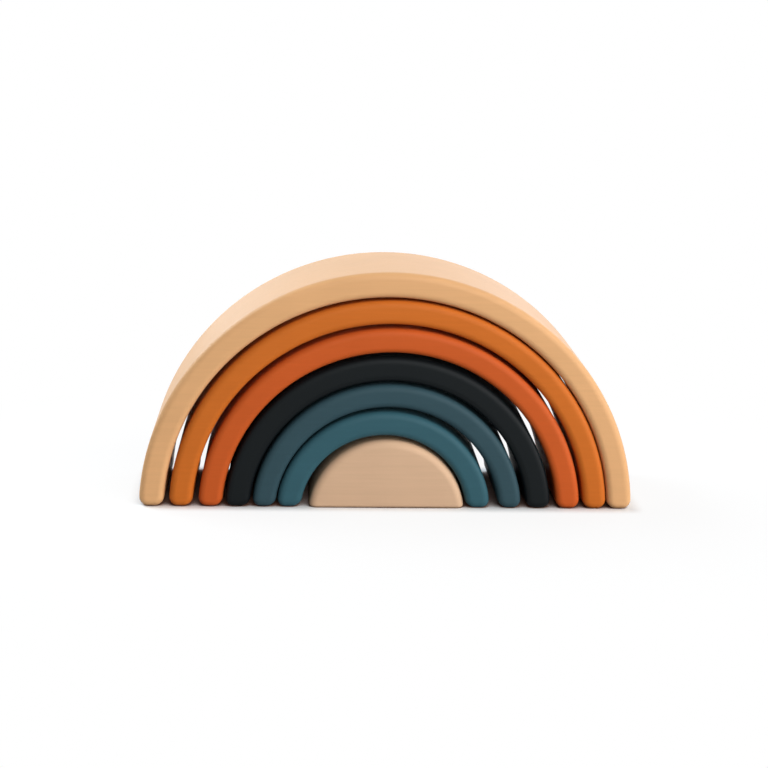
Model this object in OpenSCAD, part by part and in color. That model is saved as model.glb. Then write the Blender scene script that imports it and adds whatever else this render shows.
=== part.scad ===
// Rainbow stacker: six loose wooden arches that nest over a half-round centre block.
// Millimetres. X runs from foot to foot, Y from front to back, Z up.
// The origin is on the table, midway between the feet of the outermost arch.

/* [Whole set] */
// Depth of every piece, front to back
piece_depth = 50; // [30:1:80]
// How far below the table the common centre of all the curves lies
centre_drop = 3.5; // [0:0.1:5]
// Rounding of the long edges of the arches
edge_round = 2.5; // [0.5:0.1:2.6]
// Rounding of an arch's foot where it turns from the curve onto the table
foot_round = 2.8; // [2.7:0.1:3.5]

/* [Centre block] */
// Outer radius of the centre block
centre_radius = 30.15; // [22:0.05:45]
// Rounding of the block's edges along the curve
centre_edge_round = 2.8; // [0.5:0.1:3.2]
// Rounding where the block turns from the curve onto the table
centre_foot_round = 1.8; // [1.7:0.1:2.6]
// Rounding of the front and back edges of the block's sole
centre_sole_round = 1.4; // [0.5:0.1:1.6]
// Where the block lies inside the teal arch, as a share of the room there: right is positive
centre_lie_share = 0.56; // [-0.8:0.01:0.8]

/* [Teal arch] */
// Wall from inner to outer curve
teal_wall = 9.35; // [8:0.05:15]
// Room between this arch and the piece inside it
teal_room = 1.95; // [1:0.05:4]
// Where it lies inside the slate arch, as a share of the room there
teal_lie_share = -0.8; // [-0.8:0.01:0.8]

/* [Slate arch] */
// Wall from inner to outer curve
slate_wall = 8.9; // [8:0.05:15]
// Room between this arch and the piece inside it
slate_room = 1.75; // [1:0.05:4]
// Where it lies inside the charcoal arch, as a share of the room there
slate_lie_share = -0.37; // [-0.8:0.01:0.8]

/* [Charcoal arch] */
// Wall from inner to outer curve
charcoal_wall = 9.45; // [8:0.05:15]
// Room between this arch and the piece inside it
charcoal_room = 1.35; // [1:0.05:4]
// Where it lies inside the rust arch, as a share of the room there
charcoal_lie_share = -0.35; // [-0.8:0.01:0.8]

/* [Rust arch] */
// Wall from inner to outer curve
rust_wall = 9.2; // [8:0.05:15]
// Room between this arch and the piece inside it
rust_room = 1.55; // [1:0.05:4]
// Where it lies inside the ochre arch, as a share of the room there
rust_lie_share = 0.24; // [-0.8:0.01:0.8]

/* [Ochre arch] */
// Wall from inner to outer curve
ochre_wall = 9.05; // [8:0.05:15]
// Room between this arch and the piece inside it
ochre_room = 1.7; // [1:0.05:4]
// Where it lies inside the beige arch, as a share of the room there
ochre_lie_share = 0.68; // [-0.8:0.01:0.8]

/* [Beige arch] */
// Wall from inner to outer curve
beige_wall = 9.5; // [8:0.05:15]
// Room between this arch and the piece inside it
beige_room = 1.1; // [1:0.05:4]

/* [Hidden] */
$fn = 96;

// Each arch is sized over the piece that it covers, from the centre block outwards.
teal_inner = centre_radius + teal_room;
teal_outer = teal_inner + teal_wall;
slate_inner = teal_outer + slate_room;
slate_outer = slate_inner + slate_wall;
charcoal_inner = slate_outer + charcoal_room;
charcoal_outer = charcoal_inner + charcoal_wall;
rust_inner = charcoal_outer + rust_room;
rust_outer = rust_inner + rust_wall;
ochre_inner = rust_outer + ochre_room;
ochre_outer = ochre_inner + ochre_wall;
beige_inner = ochre_outer + beige_room;
beige_outer = beige_inner + beige_wall;

// Each loose piece lies a little to one side of the arch round it.
ochre_x = ochre_lie_share * beige_room;
rust_x = ochre_x + rust_lie_share * ochre_room;
charcoal_x = rust_x + charcoal_lie_share * rust_room;
slate_x = charcoal_x + slate_lie_share * charcoal_room;
teal_x = slate_x + teal_lie_share * slate_room;
centre_x = teal_x + centre_lie_share * teal_room;

// The rounded corners of a foot touch the table, so their centres lie one rounding above it.
// They pass the curves by corner_overlap, so that the surfaces cross instead of just touching,
// and they are set out on a grid, so that the pieces of a foot meet exactly.
corner_overlap = 0.04;
setting_out_grid = 0.01;
function on_grid(length) = round(length / setting_out_grid) * setting_out_grid;
function corner_x(reach, turn) = on_grid(sqrt(pow(reach, 2) - pow(turn + centre_drop, 2)));
function outer_corner_x(outer, turn) = corner_x(outer - turn + corner_overlap, turn);
function inner_corner_x(inner, turn) = corner_x(inner + turn - corner_overlap, turn);

// Section from a middle line out to one edge of a piece, with that edge rounded front and back
module edge_section(width, edge) {
    translate([0, -piece_depth / 2])
        square([width - edge, piece_depth]);
    translate([0, edge - piece_depth / 2])
        square([width, piece_depth - 2 * edge]);
    for (side = [-1, 1])
        translate([width - edge, side * (piece_depth / 2 - edge)])
            intersection() {
                circle(r = edge);
                translate([0, -edge])
                    square([edge, 2 * edge]);
            }
}

// Section of an arch, rounded at its inner and its outer curve
module wall_section(inner, outer) {
    middle = (inner + outer) / 2;
    translate([middle, 0]) {
        edge_section(outer - middle, edge_round);
        mirror([1, 0])
            edge_section(middle - inner, edge_round);
    }
}

// Turns a section all the way round the common centre of the curves
module round_the_centre() {
    translate([0, 0, -centre_drop])
        rotate([90, 0, 0])
            rotate_extrude()
                children();
}

// Rounded corner of a foot, with its front and back edges rounded on round the bend
module corner(x, turn, edge) {
    translate([x, 0, turn])
        rotate([90, 90, 0])
            rotate_extrude(angle = 90)
                edge_section(turn, edge);
}

// Flat sole between two corners, with its front and back edges rounded
module sole(from_x, to_x, turn, edge) {
    translate([from_x, 0, turn])
        rotate([0, 90, 0])
            linear_extrude(height = to_x - from_x)
                edge_section(turn, edge);
}

// A right foot, from the corner under its inner curve to the one under its outer curve
module foot(inner, outer) {
    inner_x = inner_corner_x(inner, foot_round);
    outer_x = outer_corner_x(outer, foot_round);
    corner(outer_x, foot_round, edge_round);
    translate([inner_x, 0, 0])
        mirror([1, 0, 0])
            corner(0, foot_round, edge_round);
    sole(inner_x, outer_x, foot_round, edge_round);
}

// Everything higher than the corners of the feet
module above_feet(outer, turn) {
    translate([-outer * 2, -piece_depth, turn])
        cube([outer * 4, piece_depth * 2, outer]);
}

// One arch, a little less than half a ring, on two flat feet
module arch(inner, outer) {
    intersection() {
        round_the_centre()
            wall_section(inner, outer);
        union() {
            above_feet(outer, foot_round);
            for (side = [0, 1])
                mirror([side, 0, 0])
                    foot(inner, outer);
        }
    }
}

// The solid half-round piece in the middle
module half_round(outer) {
    corner_at = outer_corner_x(outer, centre_foot_round);
    intersection() {
        round_the_centre()
            edge_section(outer, centre_edge_round);
        union() {
            above_feet(outer, centre_foot_round);
            sole(-corner_at, corner_at, centre_foot_round, centre_sole_round);
            for (side = [0, 1])
                mirror([side, 0, 0])
                    corner(corner_at, centre_foot_round, centre_sole_round);
        }
    }
}

module beige_arch() {
    color("#dca879")
        arch(beige_inner, beige_outer);
}

module ochre_arch() {
    color("#c66b2d")
        translate([ochre_x, 0, 0])
            arch(ochre_inner, ochre_outer);
}

module rust_arch() {
    color("#c45d2a")
        translate([rust_x, 0, 0])
            arch(rust_inner, rust_outer);
}

module charcoal_arch() {
    color("#212324")
        translate([charcoal_x, 0, 0])
            arch(charcoal_inner, charcoal_outer);
}

module slate_arch() {
    color("#394e54")
        translate([slate_x, 0, 0])
            arch(slate_inner, slate_outer);
}

module teal_arch() {
    color("#3a5b63")
        translate([teal_x, 0, 0])
            arch(teal_inner, teal_outer);
}

module centre_block() {
    color("#ceab8b")
        translate([centre_x, 0, 0])
            half_round(centre_radius);
}

beige_arch();
ochre_arch();
rust_arch();
charcoal_arch();
slate_arch();
teal_arch();
centre_block();
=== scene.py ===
import math

import bmesh
import bpy
from mathutils import Matrix, Vector


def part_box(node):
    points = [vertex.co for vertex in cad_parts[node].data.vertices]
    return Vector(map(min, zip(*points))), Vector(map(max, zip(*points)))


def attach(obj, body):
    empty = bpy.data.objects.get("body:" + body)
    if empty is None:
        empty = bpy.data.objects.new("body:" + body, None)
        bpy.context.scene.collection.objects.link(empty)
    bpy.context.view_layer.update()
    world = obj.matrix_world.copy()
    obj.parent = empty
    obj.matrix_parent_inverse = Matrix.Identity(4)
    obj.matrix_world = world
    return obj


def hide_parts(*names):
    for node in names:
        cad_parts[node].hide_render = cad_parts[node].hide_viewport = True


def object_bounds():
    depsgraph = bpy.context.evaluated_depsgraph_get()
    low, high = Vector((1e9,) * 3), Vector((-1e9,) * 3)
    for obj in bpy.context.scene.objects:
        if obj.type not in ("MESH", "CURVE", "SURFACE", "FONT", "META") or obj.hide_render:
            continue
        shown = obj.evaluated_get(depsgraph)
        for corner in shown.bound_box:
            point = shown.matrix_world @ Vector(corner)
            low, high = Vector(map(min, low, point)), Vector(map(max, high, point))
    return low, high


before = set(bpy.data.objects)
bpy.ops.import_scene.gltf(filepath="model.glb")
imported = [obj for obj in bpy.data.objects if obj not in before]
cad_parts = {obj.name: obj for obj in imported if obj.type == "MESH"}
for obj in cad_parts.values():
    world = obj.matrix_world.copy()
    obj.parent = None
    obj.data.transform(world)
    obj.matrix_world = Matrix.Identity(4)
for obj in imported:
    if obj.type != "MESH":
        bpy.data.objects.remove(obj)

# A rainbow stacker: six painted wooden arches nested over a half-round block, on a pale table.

CAD_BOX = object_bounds()
MM = 0.001

# Sizes of the pieces
CENTRE_DROP = 3.5 * MM  # the curves' common centre lies this far below the table
EDGE_ROUND = 2.8 * MM
EDGE_FULLNESS = 0.56  # over 0.5 the rounding runs out into the flat faces, as sanding leaves it
FOOT_ROUND = 3.6 * MM
BLOCK_EDGE_ROUND = 3.2 * MM
BLOCK_SOLE_ROUND = 1.5 * MM

# How finely they are modelled
ARC_STEPS = 120
CORNER_STEPS = 8
EDGE_STEPS = 10
FOOT_STRAIGHT = 1.25  # a foot has no cut across it up to this many foot roundings
UNDER_TABLE = 0.8  # the first cut of the spin lies under the table, at this share of the way up to it
SHARP_ANGLE = math.radians(40)
FLAT_FACE = 0.99999  # a face whose normal lies this much along the depth is part of the flat front or back
TINY = 0.01 * MM

# Roughness of the paint. The outermost arch gets the smoother one, because its outer curve shows so pale
# at a flat angle.
SPRAYED = 0.49
SMOOTHER = 0.38

# Node, wall thickness, paint colour, roughness of the paint and material slot
ARCHES = [
    ("beige_arch", 9.5 * MM, "#DCA977", SMOOTHER, "beige_paint"),
    ("ochre_arch", 9.05 * MM, "#C76A25", SPRAYED, "ochre_paint"),
    ("rust_arch", 9.2 * MM, "#C35824", SPRAYED, "rust_paint"),
    ("charcoal_arch", 9.45 * MM, "#0A0F11", SPRAYED, "charcoal_paint"),
    ("slate_arch", 8.9 * MM, "#314951", SPRAYED, "slate_paint"),
    ("teal_arch", 9.35 * MM, "#335862", SPRAYED, "teal_paint"),
]
BLOCK_NODE = "centre_block"
BLOCK_PAINT = "#D2AE8E"
BLOCK_SLOT = "tan_paint"

# The painted wood, taken as beech. Its real pores and the skin of a sprayed paint are finer than this,
# and both are drawn this coarse to show.
GRAIN_WIDTH = 1.1 * MM
GRAIN_DRAWN_OUT = 0.035  # along X the grain changes at this share of its rate across
GRAIN_DETAIL = 3.0
GRAIN_ROUGHNESS = 0.55
BOARD_STEP = (0.07, 0.013, 0.031)  # the grain shifts by this from piece to piece, so that each has its own
PORE_STRENGTH = 0.35
PORE_DEPTH = 0.06 * MM
SKIN_DIMPLE = 0.8 * MM
SKIN_STRENGTH = 0.25
SKIN_DEPTH = 0.03 * MM
COAT_PATCH = 22 * MM  # the coat is thinner and fuller in patches of this size
COAT_DETAIL = 2.0
GRAIN_SHARE = 0.5  # of the change of tone, where the rest comes from the coat
TONE_CHANGE = 0.05
TONE_SPAN = (0.3, 0.7)  # the patterns' values where the tone is darkest and lightest
ROUGHNESS_CHANGE = 0.05
PAINT_IOR = 1.5
PAINT_SPECULAR = 0.11  # a satin paint mirrors less than a gloss

# The table
TABLE_SIZE = 8.0
CARD_WHITE = 0.95
CARD_BOUNCE = 0.25  # the card throws back this share of the light onto the pieces
SHADOW_REACH = 120 * MM  # how far from the pieces the table still shows their shadow
CONTACT_SHARE = 0.04  # at this share of that reach most of the shadow has gone
CONTACT_WHITE = (0.85, 0.85, 0.85, 1)
PAINTED_SHADE_REACH = 10 * MM  # how far off a piece still darkens the card's colour with the painted shade between the feet
PAINTED_SHADE_OPEN = (0.15, 0.45)  # open share of the sky where the painted shade on the card is darkest, and where the card is white again
PAINTED_GAP_SHADE_BROWN = "#896353"  # painted shade: the card's colour between the feet, a warm brown that stands in for the shade there and the little light the paints throw back

# The studio. A softbox has a name, a place, a width and height, watts and a colour.
ROOM_LIGHT = 0.03
LAMPLIGHT = "#FFFFFF"
SKYLIGHT = "#EEF8FF"
LAMP_AIM = Vector((0, 0, 0.04))
SOFTBOXES = [
    ("key softbox", (0.56, -0.88, 0.5), (1.8, 1.3), 22.2, LAMPLIGHT),
    ("side strip", (0.85, -0.2, 0.14), (0.25, 0.12), 1.8, LAMPLIGHT),
    ("back left softbox", (-0.62, 0.65, 0.42), (0.6, 0.5), 3.3, SKYLIGHT),
    ("back softbox", (0, 0.95, 0.3), (0.9, 0.5), 1.2, SKYLIGHT),
    ("back right softbox", (0.62, 0.65, 0.42), (0.6, 0.5), 2.4, SKYLIGHT),
    ("top softbox", (-0.8, 0.3, 0.7), (0.6, 0.6), 9, SKYLIGHT),
]

# The photograph's camera, as it stands before the set. Angles are in radians, lens and sensor in millimetres.
CAMERA_AT = Vector((-33.97, -589.87, 193.11)) * MM
CAMERA_YAW = 0.056
CAMERA_PITCH = 0.249
CAMERA_ROLL = 0.0241
CAMERA_LENS = 72.76
CAMERA_SENSOR = 36.0


# Modelling


def deselect():
    if bpy.context.mode != "OBJECT":
        bpy.ops.object.mode_set(mode="OBJECT")
    bpy.ops.object.select_all(action="DESELECT")


def select_where(piece, kind, wanted):
    """In edit mode, selects only the vertices, edges or faces for which wanted says yes."""
    bpy.ops.mesh.select_mode(type=kind)
    bpy.ops.mesh.select_all(action="DESELECT")
    mesh = bmesh.from_edit_mesh(piece.data)
    for element in {"VERT": mesh.verts, "EDGE": mesh.edges, "FACE": mesh.faces}[kind]:
        element.select_set(wanted(element))
    bmesh.update_edit_mesh(piece.data)


def runs_along_depth(edge):
    return abs(edge.verts[0].co.y - edge.verts[1].co.y) > EDGE_ROUND


def on_table(edge):
    return all(abs(vert.co.z) < TINY for vert in edge.verts)


def curve_of(node):
    """The middle of a node's curves on the table, their outer radius and the node's depth."""
    low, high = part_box(node)
    return (low.x + high.x) / 2, high.z + CENTRE_DROP, high.y - low.y


def start_section(node, near, outer, depth, middle_x):
    """A flat section at the height of the curves' centre, from the near to the outer radius."""
    deselect()
    bpy.ops.mesh.primitive_plane_add(size=1)
    piece = bpy.context.object
    piece.name = "painted_" + node
    bpy.ops.object.mode_set(mode="EDIT")
    bpy.ops.transform.resize(value=(outer - near, depth, 1))
    bpy.ops.transform.translate(value=(middle_x + (near + outer) / 2, 0, -CENTRE_DROP))
    return piece


def spin_over(middle_x, near, outer, foot_round):
    """Spins the section from table to table, with no step across a foot where its corner is rounded."""
    under_table = math.asin(CENTRE_DROP / outer) * UNDER_TABLE
    over_foot = math.asin((CENTRE_DROP + foot_round * FOOT_STRAIGHT) / near)
    foot = over_foot - under_table
    turns = (
        (under_table, 1),
        (foot, 1),
        (math.pi - 2 * over_foot, ARC_STEPS),
        (foot, 1),
        (under_table, 1),
    )
    for angle, steps in turns:
        bpy.ops.mesh.spin(steps=steps, angle=angle, center=(middle_x, 0, -CENTRE_DROP), axis=(0, 1, 0))


def cut_flat_at_table():
    bpy.ops.mesh.select_all(action="SELECT")
    bpy.ops.mesh.bisect(plane_co=(0, 0, 0), plane_no=(0, 0, 1), use_fill=True, clear_inner=True)


def round_foot_corners(piece):
    select_where(piece, "EDGE", lambda edge: runs_along_depth(edge) and on_table(edge))
    bpy.ops.mesh.bevel(offset=FOOT_ROUND, segments=CORNER_STEPS, affect="EDGES", clamp_overlap=False)


def finish_edges(piece, edge_round):
    """Rounds every sharp edge, as a router and sandpaper do, and shades the piece smooth."""
    bpy.ops.mesh.select_all(action="SELECT")
    bpy.ops.mesh.remove_doubles(threshold=TINY)
    bpy.ops.mesh.normals_make_consistent(inside=False)
    bpy.ops.object.mode_set(mode="OBJECT")
    rounding = piece.modifiers.new("rounded edges", "BEVEL")
    rounding.width = edge_round
    rounding.segments = EDGE_STEPS
    rounding.profile = EDGE_FULLNESS
    rounding.limit_method = "ANGLE"
    rounding.angle_limit = SHARP_ANGLE
    rounding.use_clamp_overlap = False
    bpy.ops.object.modifier_apply(modifier=rounding.name)
    bpy.ops.object.shade_smooth_by_angle(angle=SHARP_ANGLE)
    flats = piece.modifiers.new("flat faces stay flat", "WEIGHTED_NORMAL")
    flats.keep_sharp = True
    bpy.ops.object.modifier_apply(modifier=flats.name)


def model_arch(node, wall):
    """Spins the section of the wall over the curves' centre, and cuts the feet off flat."""
    middle_x, outer, depth = curve_of(node)
    inner = outer - wall
    piece = start_section(node, inner, outer, depth, middle_x)
    spin_over(middle_x, inner, outer, FOOT_ROUND)
    cut_flat_at_table()
    round_foot_corners(piece)
    finish_edges(piece, EDGE_ROUND)
    return piece


def model_block(node):
    """Turns a half drum with rounded rims, and cuts it off flat over its centre."""
    middle_x, outer, depth = curve_of(node)
    piece = start_section(node, 0, outer, depth, middle_x)
    select_where(piece, "VERT", lambda vert: vert.co.x > middle_x + outer / 2)
    bpy.ops.mesh.bevel(
        offset=BLOCK_EDGE_ROUND, segments=EDGE_STEPS, profile=EDGE_FULLNESS, affect="VERTICES"
    )
    bpy.ops.mesh.select_all(action="SELECT")
    spin_over(middle_x, outer - BLOCK_EDGE_ROUND, outer, BLOCK_SOLE_ROUND)
    cut_flat_at_table()
    select_where(piece, "FACE", lambda face: abs(face.normal.y) > FLAT_FACE)
    bpy.ops.mesh.dissolve_faces(use_verts=True)
    finish_edges(piece, BLOCK_SOLE_ROUND)
    return piece


def dress(piece, node, material):
    piece.data.materials.clear()
    piece.data.materials.append(material)
    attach(piece, node)
    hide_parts(node)


# Materials


def linear(hex_colour):
    """An sRGB hex value as linear red, green, blue and alpha."""
    channels = [int(hex_colour[i : i + 2], 16) / 255 for i in (1, 3, 5)]
    return [c / 12.92 if c <= 0.04045 else ((c + 0.055) / 1.055) ** 2.4 for c in channels] + [1.0]


def add_node(tree, kind, inputs=None, **settings):
    """Adds one node. An input is a value, or the output socket that feeds it."""
    made = tree.nodes.new(kind)
    for name, value in settings.items():
        setattr(made, name, value)
    for name, value in (inputs or {}).items():
        if isinstance(value, bpy.types.NodeSocket):
            tree.links.new(value, made.inputs[name])
        else:
            made.inputs[name].default_value = value
    return made


def painted_wood(name, hex_colour, roughness, board):
    """Satin paint sprayed on sanded wood, taken as beech.

    To the eye: one even colour with a soft sheen at a flat angle, a sprayed skin, and close up the grain
    of the wood, which just shows through the paint.
    """
    material = bpy.data.materials.new(name)
    material.use_nodes = True
    tree = material.node_tree
    tree.nodes.clear()
    place = add_node(tree, "ShaderNodeTexCoord").outputs["Object"]
    along_grain = add_node(
        tree,
        "ShaderNodeMapping",
        {
            "Vector": place,
            "Location": [board * step for step in BOARD_STEP],
            "Scale": (GRAIN_DRAWN_OUT, 1, 1),
        },
    ).outputs["Vector"]
    grain = add_node(
        tree,
        "ShaderNodeTexNoise",
        {
            "Vector": along_grain,
            "Scale": 1 / GRAIN_WIDTH,
            "Detail": GRAIN_DETAIL,
            "Roughness": GRAIN_ROUGHNESS,
        },
    ).outputs["Fac"]
    skin = add_node(
        tree, "ShaderNodeTexNoise", {"Vector": place, "Scale": 1 / SKIN_DIMPLE, "Detail": COAT_DETAIL}
    ).outputs["Fac"]
    coat = add_node(
        tree, "ShaderNodeTexNoise", {"Vector": place, "Scale": 1 / COAT_PATCH, "Detail": COAT_DETAIL}
    ).outputs["Fac"]
    tone = add_node(
        tree, "ShaderNodeMix", {"Factor": GRAIN_SHARE, "A": coat, "B": grain}, data_type="FLOAT"
    ).outputs["Result"]
    base = linear(hex_colour)
    colour = add_node(tree, "ShaderNodeValToRGB", {"Fac": tone})
    shares = (1 - TONE_CHANGE, 1 + TONE_CHANGE)
    for stop, at, share in zip(colour.color_ramp.elements, TONE_SPAN, shares):
        stop.position = at
        stop.color = [c * share for c in base[:3]] + [1.0]
    dull = add_node(
        tree,
        "ShaderNodeMapRange",
        {"Value": skin, "To Min": roughness - ROUGHNESS_CHANGE, "To Max": roughness + ROUGHNESS_CHANGE},
    ).outputs["Result"]
    pores = add_node(
        tree, "ShaderNodeBump", {"Height": grain, "Strength": PORE_STRENGTH, "Distance": PORE_DEPTH}
    ).outputs["Normal"]
    sprayed = add_node(
        tree,
        "ShaderNodeBump",
        {"Height": skin, "Strength": SKIN_STRENGTH, "Distance": SKIN_DEPTH, "Normal": pores},
    ).outputs["Normal"]
    shader = add_node(
        tree,
        "ShaderNodeBsdfPrincipled",
        {
            "Base Color": colour.outputs["Color"],
            "Roughness": dull,
            "Normal": sprayed,
            "IOR": PAINT_IOR,
            "Specular IOR Level": PAINT_SPECULAR,
        },
    )
    add_node(tree, "ShaderNodeOutputMaterial", {"Surface": shader.outputs[0]})
    return material


def seen_white(tree):
    """Is 1 for what the camera, a gloss or a glass sees, and 0 for the light that falls on the pieces."""
    path = add_node(tree, "ShaderNodeLightPath").outputs
    gloss = add_node(
        tree,
        "ShaderNodeMath",
        {0: path["Is Glossy Ray"], 1: path["Is Transmission Ray"]},
        operation="MAXIMUM",
    ).outputs[0]
    return add_node(
        tree, "ShaderNodeMath", {0: path["Is Camera Ray"], 1: gloss}, operation="MAXIMUM"
    ).outputs[0]


def white_table():
    """Matt white card.

    To the eye: dark in the narrow gaps between the feet, where a painted shade turns the card's colour brown,
    a soft shadow close to the pieces, and further off the white of the background.
    """
    material = bpy.data.materials.new("white_card")
    material.use_nodes = True
    tree = material.node_tree
    tree.nodes.clear()
    place = add_node(tree, "ShaderNodeTexCoord").outputs["Object"]
    aside = add_node(tree, "ShaderNodeVectorMath", {0: place}, operation="ABSOLUTE").outputs[0]
    past_feet = add_node(
        tree, "ShaderNodeVectorMath", {0: aside, 1: CAD_BOX[1]}, operation="SUBTRACT"
    ).outputs[0]
    outside = add_node(tree, "ShaderNodeVectorMath", {0: past_feet}, operation="MAXIMUM").outputs[0]
    distance = add_node(
        tree, "ShaderNodeVectorMath", {0: outside}, operation="LENGTH"
    ).outputs["Value"]
    reach = add_node(
        tree, "ShaderNodeMapRange", {"Value": distance, "From Max": SHADOW_REACH}
    ).outputs["Result"]
    fading = add_node(tree, "ShaderNodeValToRGB", {"Fac": reach})
    fading.color_ramp.elements.new(CONTACT_SHARE).color = CONTACT_WHITE
    seen = seen_white(tree)
    white = add_node(
        tree, "ShaderNodeMath", {0: fading.outputs["Color"], 1: seen}, operation="MULTIPLY"
    ).outputs[0]
    tint = add_node(
        tree, "ShaderNodeMapRange", {"Value": seen, "To Min": CARD_BOUNCE, "To Max": CARD_WHITE}
    ).outputs["Result"]
    # Painted shade: where the pieces shut out the sky, the card's colour goes over to a dark brown, so the
    # floor between the feet looks shaded.
    sky = add_node(tree, "ShaderNodeAmbientOcclusion", {"Distance": PAINTED_SHADE_REACH}).outputs["AO"]
    gaps = add_node(tree, "ShaderNodeValToRGB", {"Fac": sky})
    gaps.color_ramp.elements[0].position = PAINTED_SHADE_OPEN[0]
    gaps.color_ramp.elements[0].color = linear(PAINTED_GAP_SHADE_BROWN)
    gaps.color_ramp.elements[1].position = PAINTED_SHADE_OPEN[1]
    shaded = add_node(
        tree, "ShaderNodeVectorMath", {0: gaps.outputs["Color"], "Scale": tint}, operation="SCALE"
    ).outputs[0]
    card = add_node(tree, "ShaderNodeBsdfDiffuse", {"Color": shaded}).outputs[0]
    glow = add_node(tree, "ShaderNodeEmission").outputs[0]
    both = add_node(tree, "ShaderNodeMixShader", {"Fac": white, 1: card, 2: glow}).outputs[0]
    add_node(tree, "ShaderNodeOutputMaterial", {"Surface": both})
    return material


# Stage, light and camera


def set_stage():
    deselect()
    bpy.ops.mesh.primitive_plane_add(size=TABLE_SIZE)
    table = bpy.context.object
    table.name = "table"
    table.data.materials.append(white_table())


def set_world():
    world = bpy.data.worlds.new("white studio")
    bpy.context.scene.world = world
    world.use_nodes = True
    tree = world.node_tree
    tree.nodes.clear()
    strength = add_node(
        tree, "ShaderNodeMapRange", {"Value": seen_white(tree), "To Min": ROOM_LIGHT, "To Max": 1.0}
    ).outputs["Result"]
    back = add_node(tree, "ShaderNodeBackground", {"Color": (1, 1, 1, 1), "Strength": strength})
    add_node(tree, "ShaderNodeOutputWorld", {"Surface": back.outputs[0]})


def set_lights():
    for name, at, size, watts, hex_colour in SOFTBOXES:
        data = bpy.data.lights.new(name, "AREA")
        data.shape = "RECTANGLE"
        data.size, data.size_y = size
        data.energy = watts
        data.color = linear(hex_colour)[:3]
        lamp = bpy.data.objects.new(name, data)
        lamp.location = at
        lamp.rotation_euler = (LAMP_AIM - Vector(at)).to_track_quat("-Z", "Y").to_euler()
        lamp.visible_camera = False
        bpy.context.scene.collection.objects.link(lamp)


def set_camera():
    data = bpy.data.cameras.new("photo camera")
    data.lens = CAMERA_LENS
    data.sensor_width = CAMERA_SENSOR
    camera = bpy.data.objects.new("photo camera", data)
    bpy.context.scene.collection.objects.link(camera)
    level = math.cos(CAMERA_PITCH)
    forward = Vector(
        (math.sin(CAMERA_YAW) * level, math.cos(CAMERA_YAW) * level, -math.sin(CAMERA_PITCH))
    )
    right = Vector((math.cos(CAMERA_YAW), -math.sin(CAMERA_YAW), 0))
    up = right.cross(forward)
    rolled_right = right * math.cos(CAMERA_ROLL) + up * math.sin(CAMERA_ROLL)
    rolled_up = up * math.cos(CAMERA_ROLL) - right * math.sin(CAMERA_ROLL)
    turn = Matrix((rolled_right, rolled_up, -forward)).transposed()
    camera.matrix_world = Matrix.Translation(CAMERA_AT) @ turn.to_4x4()
    bpy.context.scene.camera = camera


def build():
    for board, (node, wall, hex_colour, roughness, slot) in enumerate(ARCHES):
        paint = painted_wood(slot + "_on_wood", hex_colour, roughness, board)
        dress(model_arch(node, wall), node, paint)
    block_paint = painted_wood(BLOCK_SLOT + "_on_wood", BLOCK_PAINT, SPRAYED, len(ARCHES))
    dress(model_block(BLOCK_NODE), BLOCK_NODE, block_paint)
    set_stage()
    set_world()
    set_lights()
    set_camera()
    bpy.context.scene.view_settings.view_transform = "Standard"


build()
deselect()
